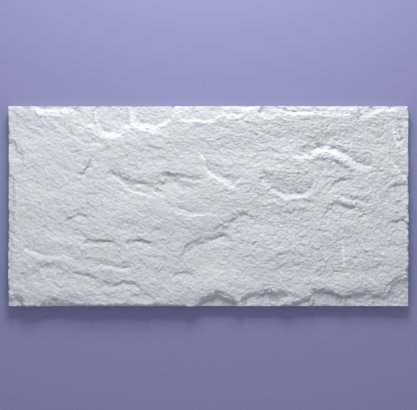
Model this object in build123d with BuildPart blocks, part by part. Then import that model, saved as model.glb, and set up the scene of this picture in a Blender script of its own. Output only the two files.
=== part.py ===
from build123d import *
from dataclasses import dataclass
from math import ceil, exp, hypot, radians, tan
import os

# A decorative wall panel moulded in rigid polyurethane foam as one piece. Its back is flat,
# for adhesive, and its face is the cast of split stone: a slab that rises and sinks in broad
# swells, from which flakes have broken away, most of them along the rim. It lies on its back
# with the stone face up.

# Driving sizes, in millimetres
LENGTH = 1200.0  # along X, left to right
WIDTH = 600.0  # along Y, lower edge to upper edge
THICKNESS = 42.0  # from the flat back to the highest stone
LIFT = 5.6  # how far the highest stone stands above the stone between the swells
SIDE_BELOW_TOP = 16.0  # how far under the highest stone the sides begin to lean inward
SIDE_LEAN = 8.0  # how far they lean there, in degrees from upright
SWELL_STEP = 30.0  # the spacing of the points through which the swelling face is drawn
PAST_RIM = 30.0  # how far an outline runs past the rim, to leave a flake's scar open there
CLEAR_ABOVE = 1.5  # how far each cut starts above the stone
RUN_ON = 30.0  # how far a ledge's cut runs on past its two ends

# The holds from which places are measured: left, middle or right, then lower, middle or upper
UPPER_LEFT, UPPER_MIDDLE, UPPER_RIGHT = (-1, 1), (0, 1), (1, 1)
MIDDLE_LEFT, CENTRE, MIDDLE_RIGHT = (-1, 0), (0, 0), (1, 0)
LOWER_LEFT, LOWER_MIDDLE, LOWER_RIGHT = (-1, -1), (0, -1), (1, -1)


def placed(hold, point):
    """A point measured from its hold, in the panel's own frame."""
    side, end = hold
    return side * LENGTH / 2 + point[0], end * WIDTH / 2 + point[1]


@dataclass
class Swell:
    """One broad rise of the stone, or a hollow where its height is below nought.

    The middle is measured from the hold, so each swell stays with its own edge or corner when
    the panel's sizes change. The height is the stone's at the middle, and the spreads are how
    far along X and along Y it runs before three fifths of that height are left.
    """

    hold: tuple
    middle: tuple
    height: float
    spread: tuple

    def height_at(self, x, y):
        """How much this swell lifts the stone at a point of the panel's own frame."""
        middle_x, middle_y = placed(self.hold, self.middle)
        spread_x, spread_y = self.spread
        return self.height * exp(-(((x - middle_x) / spread_x) ** 2
                                   + ((y - middle_y) / spread_y) ** 2) / 2)


swells = [
    # the long mound along the lower left, the shoulder above it and the knolls on it
    Swell(LOWER_LEFT, (110, 5), 3.7, (330, 95)),
    Swell(LOWER_LEFT, (110, 150), 2.5, (95, 38)),
    Swell(LOWER_LEFT, (85, 38), 2.2, (62, 28)),
    Swell(LOWER_LEFT, (225, 22), 1.8, (32, 26)),
    Swell(LOWER_LEFT, (395, 56), 2.4, (55, 28)),
    # the crest along the upper rim, with the band of higher stone left of it
    Swell(UPPER_MIDDLE, (190, -5), 3.4, (270, 60)),
    Swell(UPPER_LEFT, (430, -100), 2, (140, 38)),
    Swell(UPPER_MIDDLE, (0, -45), 2.2, (95, 30)),
    Swell(UPPER_MIDDLE, (-40, -145), -2.2, (110, 28)),
    # the ground that falls to the left
    Swell(UPPER_LEFT, (70, -60), -3, (120, 90)),
    Swell(UPPER_LEFT, (85, -72), -2.6, (50, 28)),
    Swell(UPPER_LEFT, (50, -150), -2.5, (110, 60)),
    Swell(MIDDLE_LEFT, (110, 85), -2.5, (110, 45)),
    Swell(MIDDLE_LEFT, (190, -68), -3, (46, 26)),
    # the arched ridge in the upper right, the hollows round it and the crest above it
    Swell(UPPER_RIGHT, (-245, -156), 4, (90, 30)),
    Swell(UPPER_RIGHT, (-210, -110), -4.5, (110, 30)),
    Swell(UPPER_RIGHT, (-225, -26), 2.6, (125, 28)),
    Swell(UPPER_RIGHT, (-365, -200), 2.5, (60, 30)),
    Swell(UPPER_RIGHT, (-250, -198), -2, (60, 26)),
    Swell(UPPER_RIGHT, (-155, -222), -2.8, (46, 26)),
    Swell(UPPER_RIGHT, (-430, -118), -2, (60, 28)),
    # the corners at the right
    Swell(UPPER_RIGHT, (-10, -50), -4, (55, 90)),
    Swell(LOWER_RIGHT, (-30, 85), 3.5, (55, 45)),
    # the hollows in the middle: the hooked one, the deep one and the long one beside it
    Swell(CENTRE, (-140, 50), -4.5, (72, 26)),
    Swell(CENTRE, (-230, 140), -1.8, (70, 26)),
    Swell(CENTRE, (5, -150), -6.5, (75, 42)),
    Swell(CENTRE, (95, -90), -3, (80, 42)),
    Swell(CENTRE, (205, -45), -3, (95, 30)),
    Swell(MIDDLE_RIGHT, (-165, -42), -4, (52, 30)),
    # the stone between them
    Swell(CENTRE, (0, -30), 2, (60, 35)),
    Swell(CENTRE, (165, -150), 1.5, (50, 32)),
    Swell(LOWER_MIDDLE, (45, 62), 4.5, (85, 32)),
    Swell(LOWER_MIDDLE, (-70, 44), 2, (42, 26)),
    Swell(LOWER_MIDDLE, (-80, 92), -2.5, (42, 26)),
    Swell(LOWER_MIDDLE, (155, 106), -1.8, (48, 26)),
    Swell(LOWER_LEFT, (320, 165), -2, (65, 25)),
    Swell(LOWER_RIGHT, (-235, 106), -2.8, (75, 25)),
    Swell(LOWER_RIGHT, (-225, 56), 2.4, (78, 25)),
    # the smaller rises and dips of the left half
    Swell(UPPER_LEFT, (60, -140), 1.5, (40, 24)),
    Swell(UPPER_LEFT, (350, -128), 1.4, (42, 22)),
    Swell(MIDDLE_LEFT, (215, 25), 1.6, (36, 22)),
    Swell(MIDDLE_LEFT, (55, 15), 1.3, (36, 22)),
    Swell(MIDDLE_LEFT, (325, 28), -1.6, (30, 22)),
    Swell(MIDDLE_LEFT, (265, -75), 1.3, (36, 22)),
    Swell(CENTRE, (-160, 18), 1.6, (50, 22)),
    Swell(CENTRE, (-60, -38), 1.4, (45, 22)),
    Swell(CENTRE, (-55, 5), -1.4, (40, 22)),
    Swell(CENTRE, (-225, -62), -1.4, (42, 22)),
    Swell(CENTRE, (-220, -26), 1.4, (42, 22)),
    Swell(LOWER_LEFT, (430, 150), 1.6, (44, 22)),
    Swell(LOWER_LEFT, (300, 112), 1.6, (46, 22)),
    Swell(LOWER_LEFT, (180, 178), 1.5, (44, 20)),
    Swell(LOWER_LEFT, (180, 216), -1.3, (44, 20)),
    Swell(LOWER_LEFT, (105, 95), -1.5, (44, 20)),
    Swell(LOWER_LEFT, (310, 52), -1.6, (36, 22)),
    # and of the right half
    Swell(CENTRE, (55, 100), -1.7, (36, 22)),
    Swell(CENTRE, (12, 52), 1.5, (34, 22)),
    Swell(UPPER_MIDDLE, (88, -135), -1.5, (40, 22)),
    Swell(UPPER_RIGHT, (-360, -78), -1.4, (48, 22)),
    Swell(CENTRE, (170, -112), 1.6, (45, 22)),
    Swell(MIDDLE_RIGHT, (-50, 95), 1.7, (32, 22)),
    Swell(MIDDLE_RIGHT, (-38, 26), -1.6, (36, 22)),
    Swell(MIDDLE_RIGHT, (-200, -52), 1.5, (34, 22)),
    Swell(MIDDLE_RIGHT, (-200, -98), -1.5, (34, 22)),
    Swell(MIDDLE_RIGHT, (-150, -160), 1.6, (38, 22)),
    Swell(MIDDLE_RIGHT, (-140, -112), -1.3, (36, 20)),
    Swell(MIDDLE_RIGHT, (-35, -150), 1.5, (34, 22)),
    Swell(LOWER_RIGHT, (-330, 165), 1.4, (38, 22)),
    Swell(LOWER_RIGHT, (-110, 110), -1.4, (38, 22)),
]


def stone_height(x, y):
    """The height of the swelling stone above the back, at a point of the panel's own frame."""
    return THICKNESS - LIFT + sum(swell.height_at(x, y) for swell in swells)


class Flake:
    """The place of one lost flake: a flat floor inside leaning walls.

    All its points are measured from the hold. The floor lies the depth under the swelling stone
    at the deep point. The lean is the walls' angle from upright.
    """

    def place(self, point):
        """A point measured from the hold, in the panel's own frame."""
        return placed(self.hold, point)

    def floor(self):
        """The floor's height above the back at the deep point."""
        return stone_height(*self.place(self.deep)) - self.depth

    def depth_at(self, point):
        """How far the floor lies under the stone at a point measured from the hold."""
        tilt_x, tilt_y = self.tilt()
        floor = (self.floor() + tilt_x * (point[0] - self.deep[0])
                 + tilt_y * (point[1] - self.deep[1]))
        return stone_height(*self.place(point)) - floor

    def height(self):
        """How far above the floor the cut has to start so as to clear the stone."""
        return max(self.depth, *(self.depth_at(point) for point in self.line)) + CLEAR_ABOVE


@dataclass
class Ledge(Flake):
    """A flake lost from the middle of the face, whose floor runs out into the stone.

    The line is the top of its wall. The floor comes up to the stone's surface at the line's
    first and last points, so the wall dies away there, and it runs out between the two.
    """

    hold: tuple
    deep: tuple
    depth: float
    line: list
    lean: float = 45.0

    def tilt(self):
        """The slope along X and along Y of the floor through the deep point and both ends."""
        floor = self.floor()
        (x1, y1), (x2, y2) = ((end[0] - self.deep[0], end[1] - self.deep[1])
                              for end in (self.line[0], self.line[-1]))
        z1, z2 = (stone_height(*self.place(end)) - floor
                  for end in (self.line[0], self.line[-1]))
        area = x1 * y2 - x2 * y1
        return (z1 * y2 - z2 * y1) / area, (x1 * z2 - x2 * z1) / area

    def outline(self):
        """The line, closed on the far side of its two ends where the floor is clear of stone."""
        (x1, y1), (x2, y2) = self.line[0], self.line[-1]
        span = hypot(x2 - x1, y2 - y1)
        side = (x2 - x1) * (self.deep[1] - y1) - (y2 - y1) * (self.deep[0] - x1)
        reach = RUN_ON + self.height() * tan(radians(self.lean))
        step = reach / span if side < 0 else -reach / span
        away = step * (y1 - y2), step * (x2 - x1)
        return self.line + [(x2 + away[0], y2 + away[1]), (x1 + away[0], y1 + away[1])]


@dataclass
class Chip(Flake):
    """A flake lost from the rim, whose scar is open there.

    The line is its whole outline. The rise is how far the floor climbs towards the stone over
    100 mm along X and along Y.
    """

    hold: tuple
    deep: tuple
    depth: float
    rise: tuple
    line: list
    lean: float = 45.0

    def tilt(self):
        """The floor's slope along X and along Y: that of the stone there, and the rise."""
        x, y = self.place(self.deep)
        stone_x = (stone_height(x + 10, y) - stone_height(x - 10, y)) / 20
        stone_y = (stone_height(x, y + 10) - stone_height(x, y - 10)) / 20
        return stone_x + self.rise[0] / 100, stone_y + self.rise[1] / 100

    def outline(self):
        """The outline, as given."""
        return self.line


OUT = PAST_RIM

# The ledges whose walls look towards the upper edge
ledges_up = [
    # above the arched ridge, its right and left parts
    Ledge(UPPER_RIGHT, (-240, -146), 10,
          [(-306, -60), (-296, -116), (-284, -142), (-272, -149), (-250, -146), (-230, -152),
           (-214, -154), (-198, -164), (-182, -171), (-168, -185), (-154, -193), (-135, -202),
           (-112, -199), (-94, -186), (-86, -158)], 54),
    Ledge(UPPER_RIGHT, (-318, -151), 5,
          [(-382, -122), (-366, -134), (-345, -146), (-330, -148), (-314, -156), (-298, -163),
           (-284, -158), (-272, -144), (-262, -126)], 55),
    # above the slanting ridge in the middle
    Ledge(CENTRE, (24, 84), 6.5,
          [(-46, 168), (-34, 142), (-22, 112), (-8, 99), (5, 92), (18, 82), (32, 79), (45, 70),
           (62, 62), (74, 52), (92, 66), (112, 98)], 50),
    # the broad band above the basin
    Ledge(CENTRE, (240, 101), 3,
          [(140, 142), (172, 112), (205, 102), (240, 100), (280, 97), (306, 104), (334, 134)], 65),
    # the basin, with its wall at the lower left
    Ledge(CENTRE, (214, 36), 7,
          [(140, 102), (152, 84), (163, 66), (172, 53), (184, 45), (201, 37), (214, 30),
           (231, 19), (250, 24), (270, 30), (290, 28), (312, 46), (330, 80)]),
    # the short ledge at the right
    Ledge(MIDDLE_RIGHT, (-180, 16), 2.8,
          [(-250, 48), (-226, 30), (-200, 22), (-180, 16), (-155, 9), (-134, 3), (-112, 8),
           (-98, 34)]),
    # the slanting side of the hollow's long arm, left of the middle
    Ledge(CENTRE, (-200, 47), 6,
          [(-268, 100), (-256, 80), (-240, 67), (-210, 51), (-180, 39), (-150, 27), (-130, 26),
           (-108, 50)], 52),
    # the low ledge left of the middle
    Ledge(CENTRE, (-45, -21), 2.6,
          [(-118, 14), (-104, -8), (-80, -16), (-50, -22), (-10, -28), (18, -32), (46, -6)]),
    # the long ledge in the lower left, in two parts
    Ledge(LOWER_LEFT, (108, 149), 4,
          [(8, 222), (25, 184), (45, 174), (62, 160), (82, 158), (100, 148), (130, 142),
           (165, 143), (196, 139), (222, 172)], 52),
    Ledge(LOWER_LEFT, (300, 114), 4.4,
          [(178, 166), (202, 136), (225, 127), (240, 121), (262, 111), (280, 116), (305, 112),
           (345, 105), (368, 112), (388, 146)]),
    # where the stone steps down to the upper left
    Ledge(UPPER_LEFT, (215, -106), 3.2,
          [(138, -22), (150, -52), (162, -67), (175, -83), (184, -97), (205, -101), (228, -115),
           (255, -119), (284, -122), (306, -92)], 60),
    # smaller ones
    Ledge(LOWER_LEFT, (172, 191), 2.2, [(132, 222), (152, 196), (175, 190), (204, 192), (226, 216)]),
    Ledge(LOWER_MIDDLE, (45, 104), 2.4,
          [(-34, 140), (-12, 112), (40, 103), (92, 107), (118, 136)], 60),
]

# The ledges whose walls look towards the lower edge
ledges_down = [
    # below the arched ridge
    Ledge(UPPER_RIGHT, (-255, -158), 4.5,
          [(-326, -194), (-300, -166), (-286, -158), (-272, -154), (-250, -154), (-215, -161),
           (-185, -175), (-164, -196), (-148, -218)]),
    # the hooked hollow left of the middle: its long arm, then the hook
    Ledge(CENTRE, (-265, 98), 5,
          [(-326, 80), (-305, 111), (-290, 115), (-270, 105), (-254, 100), (-238, 86),
           (-222, 80), (-206, 66), (-186, 30)], 58),
    Ledge(CENTRE, (-122, 94), 10,
          [(-226, 30), (-206, 58), (-188, 66), (-168, 66), (-160, 84), (-148, 90), (-140, 101),
           (-120, 104), (-100, 97), (-84, 99), (-66, 86), (-48, 84), (-26, 66), (12, 20)], 64),
    # under the diagonal ledge: the deep hollow, then the shallower step up to the right
    Ledge(CENTRE, (-14, -96), 7,
          [(-118, -192), (-100, -156), (-84, -148), (-72, -126), (-58, -116), (-50, -104),
           (-28, -100), (-12, -87), (10, -84), (38, -72), (60, -74), (80, -92), (92, -122)], 52),
    Ledge(CENTRE, (62, -42), 6,
          [(-4, -116), (16, -84), (28, -76), (36, -58), (56, -50), (64, -34), (88, -26),
           (98, -12), (116, -10), (136, -22), (154, -52)], 52),
    # where the stone falls to the long hollow right of it
    Ledge(CENTRE, (222, -10), 2.6,
          [(130, -50), (158, -20), (196, -14), (236, -6), (284, -4), (314, -20), (340, -54)], 70),
    # under the short ledge at the right, and beside it
    Ledge(MIDDLE_RIGHT, (-190, 8), 5.5,
          [(-272, -42), (-252, -10), (-235, 11), (-215, 18), (-200, 14), (-180, 9), (-155, 2),
           (-136, -6), (-118, -26), (-108, -62)], 46),
    Ledge(MIDDLE_RIGHT, (-212, 78), 3.6,
          [(-264, 22), (-250, 45), (-233, 63), (-215, 80), (-190, 87), (-155, 80), (-124, 50)]),
    # under the two level cracks
    Ledge(LOWER_LEFT, (275, 198), 4.2,
          [(206, 176), (222, 193), (236, 199), (262, 198), (290, 200), (312, 197), (330, 190),
           (346, 172)], 40),
    Ledge(LOWER_LEFT, (385, 197), 3.8,
          [(332, 176), (346, 190), (360, 197), (378, 199), (400, 197), (420, 197), (444, 191),
           (468, 172)], 40),
    # the long ledge's lower side, and the short ones below it
    Ledge(LOWER_LEFT, (105, 129), 5.5,
          [(-4, 68), (24, 94), (44, 103), (58, 100), (74, 116), (88, 118), (102, 130),
           (128, 134), (152, 128), (176, 112), (206, 84)], 54),
    Ledge(LOWER_LEFT, (195, 104), 4,
          [(136, 70), (154, 96), (170, 107), (186, 102), (204, 105), (224, 97), (242, 100),
           (262, 90), (286, 62)]),
    Ledge(LOWER_LEFT, (310, 76), 5,
          [(240, 36), (262, 66), (276, 70), (290, 79), (312, 73), (328, 76), (346, 84),
           (362, 80), (384, 72), (414, 40)]),
    # smaller ones
    Ledge(LOWER_MIDDLE, (-75, 100), 3.2,
          [(-122, 78), (-108, 94), (-96, 102), (-75, 100), (-56, 102), (-40, 94), (-24, 76)]),
    Ledge(MIDDLE_LEFT, (205, -26), 3.2,
          [(136, -70), (160, -46), (172, -32), (190, -30), (208, -20), (232, -22), (246, -38),
           (282, -60)], 50),
    Ledge(MIDDLE_RIGHT, (-240, -187), 2.6,
          [(-324, -222), (-300, -192), (-270, -187), (-220, -188), (-188, -195), (-166, -226)], 50),
    Ledge(UPPER_RIGHT, (-410, -128), 2.4,
          [(-468, -156), (-446, -132), (-410, -127), (-376, -134), (-354, -158)], 50),
    Ledge(LOWER_LEFT, (400, 38), 3,
          [(346, 12), (366, 33), (394, 41), (428, 36), (454, 14)], 52),
]

# The chips along the upper rim, from left to right
upper_chips = [
    Chip(UPPER_LEFT, (130, -10), 8, (0, -9),
         [(50, OUT), (62, -3), (75, -16), (100, -26), (150, -25), (188, -20), (199, -10),
          (206, OUT)], 48),
    Chip(UPPER_LEFT, (245, -50), 7.4, (-11, -3),
         [(196, OUT), (193, -8), (188, -45), (198, -70), (215, -74), (240, -71), (262, -80),
          (275, -60), (262, OUT)], 50),
    Chip(UPPER_LEFT, (300, -60), 10, (-1, -2),
         [(240, OUT), (248, -40), (262, -70), (275, -92), (300, -97), (318, -93), (330, -95),
          (345, -80), (358, -68), (372, -56), (378, -30), (380, OUT)], 50),
    Chip(UPPER_LEFT, (430, -70), 12, (9, -1),
         [(335, OUT), (346, -22), (362, -50), (370, -64), (385, -74), (404, -76), (420, -82),
          (440, -89), (455, -80), (470, -76), (480, -66), (500, -60), (514, -30), (522, OUT)],
         50),
    Chip(UPPER_MIDDLE, (-20, -30), 5, (0, -5),
         [(-90, OUT), (-88, -36), (-72, -47), (-55, -50), (-40, -48), (0, -55), (30, -42),
          (45, -38), (60, OUT)]),
    Chip(UPPER_MIDDLE, (70, -25), 5, (0, -7),
         [(32, OUT), (36, -33), (50, -35), (98, -34), (110, -25), (120, OUT)]),
    Chip(UPPER_MIDDLE, (115, -5), 7, (0, -6),
         [(70, OUT), (78, -3), (100, -10), (115, -12), (145, -10), (158, OUT)]),
    Chip(UPPER_MIDDLE, (190, -25), 5, (0, -8),
         [(146, OUT), (152, -25), (170, -35), (190, -40), (215, -30), (232, OUT)]),
    Chip(UPPER_RIGHT, (-270, -15), 6, (0, -7),
         [(-385, OUT), (-375, -25), (-350, -26), (-320, -23), (-300, -25), (-250, -27),
          (-200, -30), (-185, -25), (-165, -5), (-156, OUT)]),
    Chip(UPPER_RIGHT, (-115, -20), 6, (0, -5),
         [(-160, OUT), (-157, -32), (-145, -40), (-120, -38), (-110, -28), (-90, -18),
          (-75, -10), (-68, OUT)]),
    Chip(UPPER_RIGHT, (-30, -8), 6, (0, -6),
         [(-80, OUT), (-72, -8), (-55, -17), (-35, -15), (-15, -10), (OUT, -12), (OUT, OUT)]),
]

# The chips along the lower rim, from left to right
lower_chips = [
    Chip(LOWER_LEFT, (20, 15), 9, (0, 3),
         [(-OUT, 32), (12, 30), (25, 37), (35, 27), (50, 15), (62, -OUT), (-OUT, -OUT)]),
    Chip(LOWER_LEFT, (140, 8), 8, (0, 5),
         [(68, -OUT), (80, 3), (95, 12), (105, 18), (130, 20), (150, 18), (175, 14), (200, 8),
          (218, -OUT)]),
    Chip(LOWER_MIDDLE, (20, 20), 12, (0, 3),
         [(-55, -OUT), (-42, 2), (-35, 17), (-20, 25), (0, 32), (12, 38), (28, 46), (50, 34),
          (70, 30), (85, 22), (94, 14), (100, -OUT)], 48),
    Chip(LOWER_MIDDLE, (160, 20), 8, (0, 2),
         [(88, -OUT), (90, 20), (95, 31), (115, 35), (130, 44), (150, 44), (170, 46), (205, 49),
          (220, 44), (232, 32), (245, 27), (225, 12), (205, -OUT)]),
    Chip(LOWER_MIDDLE, (115, 15), 11, (0, 2),
         [(94, -OUT), (96, 25), (110, 33), (135, 38), (132, 20), (118, -OUT)]),
    Chip(LOWER_RIGHT, (-330, 15), 9, (0, 4),
         [(-385, -OUT), (-355, 15), (-340, 20), (-320, 27), (-300, 31), (-285, 30),
          (-280, -OUT)]),
    Chip(LOWER_RIGHT, (-270, 20), 11, (2, 3),
         [(-300, -OUT), (-298, 30), (-292, 57), (-270, 57), (-250, 52), (-220, 46), (-200, 40),
          (-185, 38), (-178, -OUT)]),
    Chip(LOWER_RIGHT, (-130, 20), 10, (1, 3),
         [(-200, -OUT), (-200, 38), (-185, 38), (-170, 46), (-155, 50), (-140, 50), (-105, 49),
          (-100, 42), (-80, 36), (-72, 45), (-65, 60), (-55, 20), (-40, -OUT)]),
    Chip(LOWER_RIGHT, (-30, 40), 8, (-3, 2),
         [(-85, -OUT), (-80, 34), (-72, 45), (-65, 60), (-50, 78), (-35, 88), (-15, 95),
          (OUT, 98), (OUT, -OUT)]),
]

# The chips along the left rim
left_chips = [
    Chip(UPPER_LEFT, (12, -112), 6, (3, -8),
         [(-OUT, -94), (12, -101), (30, -117), (50, -138), (74, -180), (60, -260),
          (-OUT, -260)]),
    Chip(LOWER_LEFT, (8, 200), 3, (8, 0),
         [(-OUT, 392), (10, 386), (24, 380), (34, 350), (30, 250), (28, 150), (30, 90),
          (28, 50), (28, 30), (-OUT, 28)], 64),
]

# The chips along the right rim
right_chips = [
    Chip(UPPER_RIGHT, (-30, -190), 5, (-2, 6),
         [(-66, -152), (-52, -168), (-40, -184), (-25, -203), (-5, -225), (OUT, -236),
          (OUT, -70), (-80, -70)], 50),
    Chip(UPPER_RIGHT, (-34, -100), 4, (-5, 6),
         [(-60, -20), (-50, -60), (-46, -90), (-36, -112), (-24, -132), (-6, -152), (OUT, -190),
          (OUT, OUT), (-70, OUT)], 50),
    Chip(MIDDLE_RIGHT, (-20, 66), 3.6, (0, -7),
         [(-78, 20), (-64, 56), (-50, 68), (-25, 71), (OUT, 73), (OUT, -30), (-80, -30)], 50),
    Chip(MIDDLE_RIGHT, (-24, -38), 3.2, (0, -7),
         [(-84, -92), (-68, -52), (-50, -42), (-30, -36), (-12, -28), (OUT, -14), (OUT, -140),
          (-90, -140)], 50),
]


def all_flakes():
    """Every lost flake, in the order in which they are cut."""
    return ledges_up + ledges_down + upper_chips + lower_chips + left_chips + right_chips


columns = ceil((LENGTH / 2 + PAST_RIM) / SWELL_STEP)
rows = ceil((WIDTH / 2 + PAST_RIM) / SWELL_STEP)
places_x = [SWELL_STEP * i for i in range(-columns, columns + 1)]
places_y = [SWELL_STEP * j for j in range(-rows, rows + 1)]
swelling_face = Face.make_surface_from_array_of_points(
    [[Vector(x, y, stone_height(x, y)) for y in places_y] for x in places_x], tol=0.05)

with BuildPart() as panel:
    with BuildSketch():
        Rectangle(LENGTH, WIDTH)
    extrude(amount=THICKNESS - SIDE_BELOW_TOP)
    with BuildSketch(Plane.XY.offset(THICKNESS - SIDE_BELOW_TOP)):
        Rectangle(LENGTH, WIDTH)
    extrude(amount=SIDE_BELOW_TOP, taper=SIDE_LEAN)
    add(Solid.extrude(swelling_face, Vector(0, 0, -2 * THICKNESS)), mode=Mode.INTERSECT)
    lost = []
    for flake in all_flakes():
        tilt_x, tilt_y = flake.tilt()
        top = Plane(origin=(*flake.place(flake.deep), flake.floor() + flake.height()),
                    x_dir=(1, 0, tilt_x), z_dir=(-tilt_x, -tilt_y, 1))
        corners = [(x - flake.deep[0], y - flake.deep[1]) for x, y in flake.outline()]
        with BuildSketch(top):
            with BuildLine():
                Polyline(*corners, close=True)
            make_face()
        lost.append(extrude(amount=-flake.height(), taper=flake.lean, mode=Mode.PRIVATE))
    add(lost, mode=Mode.SUBTRACT)

panel.part.label = "stone_panel"
os.makedirs("parts", exist_ok=True)
export_step(panel.part, "parts/stone_panel.step")
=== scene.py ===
"""A split-stone wall panel in moulded polyurethane, dressed over its CAD solid.

The solid carries the panel's swells, ledges and chips. Here its face is sampled finely, its
corners worn a little, and it is given what a mould takes from real split stone: small ledges
and cracks drawn along given lines, crumples in two directions, and small tilted facets. Its
colour has painted shade in the hollows and along the ledges that face the lower edge, painted
highlight on the crests, and paler lines along some ledges, partly rubbed and partly a painted
highlight.
"""
import logging
from dataclasses import dataclass, field
from enum import Enum
from math import pi, radians

import bmesh
import bpy
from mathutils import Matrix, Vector

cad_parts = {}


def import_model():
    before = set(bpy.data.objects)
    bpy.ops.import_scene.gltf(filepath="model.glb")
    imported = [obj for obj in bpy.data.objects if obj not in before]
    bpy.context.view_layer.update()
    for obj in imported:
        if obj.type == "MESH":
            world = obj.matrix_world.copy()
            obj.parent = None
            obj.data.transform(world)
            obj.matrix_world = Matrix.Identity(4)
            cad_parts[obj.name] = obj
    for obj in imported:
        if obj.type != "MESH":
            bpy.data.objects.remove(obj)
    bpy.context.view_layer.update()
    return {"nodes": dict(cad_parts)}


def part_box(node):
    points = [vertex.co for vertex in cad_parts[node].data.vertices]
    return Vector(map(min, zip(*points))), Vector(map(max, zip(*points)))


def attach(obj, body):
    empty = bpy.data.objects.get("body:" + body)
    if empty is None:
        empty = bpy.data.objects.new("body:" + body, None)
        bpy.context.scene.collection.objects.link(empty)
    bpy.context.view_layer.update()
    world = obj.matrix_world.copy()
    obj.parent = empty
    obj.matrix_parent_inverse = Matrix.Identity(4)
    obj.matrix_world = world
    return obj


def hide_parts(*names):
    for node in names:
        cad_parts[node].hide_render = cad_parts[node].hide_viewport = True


LOG = logging.getLogger("stone_panel")
MM = 0.001
Socket = bpy.types.NodeSocket
Inputs = bpy.types.bpy_prop_collection


class Low(Enum):
    """Which way the low side of a small ledge lies, as seen on the face."""

    UP = (0.0, 1.0)
    UP_RIGHT = (0.7, 0.7)
    RIGHT = (1.0, 0.0)
    DOWN_RIGHT = (0.8, -0.6)
    DOWN = (0.0, -1.0)


@dataclass(frozen=True)
class Ledge:
    """A small ledge or crack, drawn as a line on the face.

    Points are in millimetres from the face's lower left corner. The stone just beyond the
    line, on its low side, lies lower by the drop, and climbs back over the reach. The width
    is how far the fall itself takes. The last number is how much shade is painted along the
    line, or, where it is below nought, how much paler the line is painted, partly rubbed and
    partly a painted highlight.
    """

    low: Low
    drop: float
    reach: float
    points: tuple
    width: float = 1.2
    stain: float = 0.0
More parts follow.
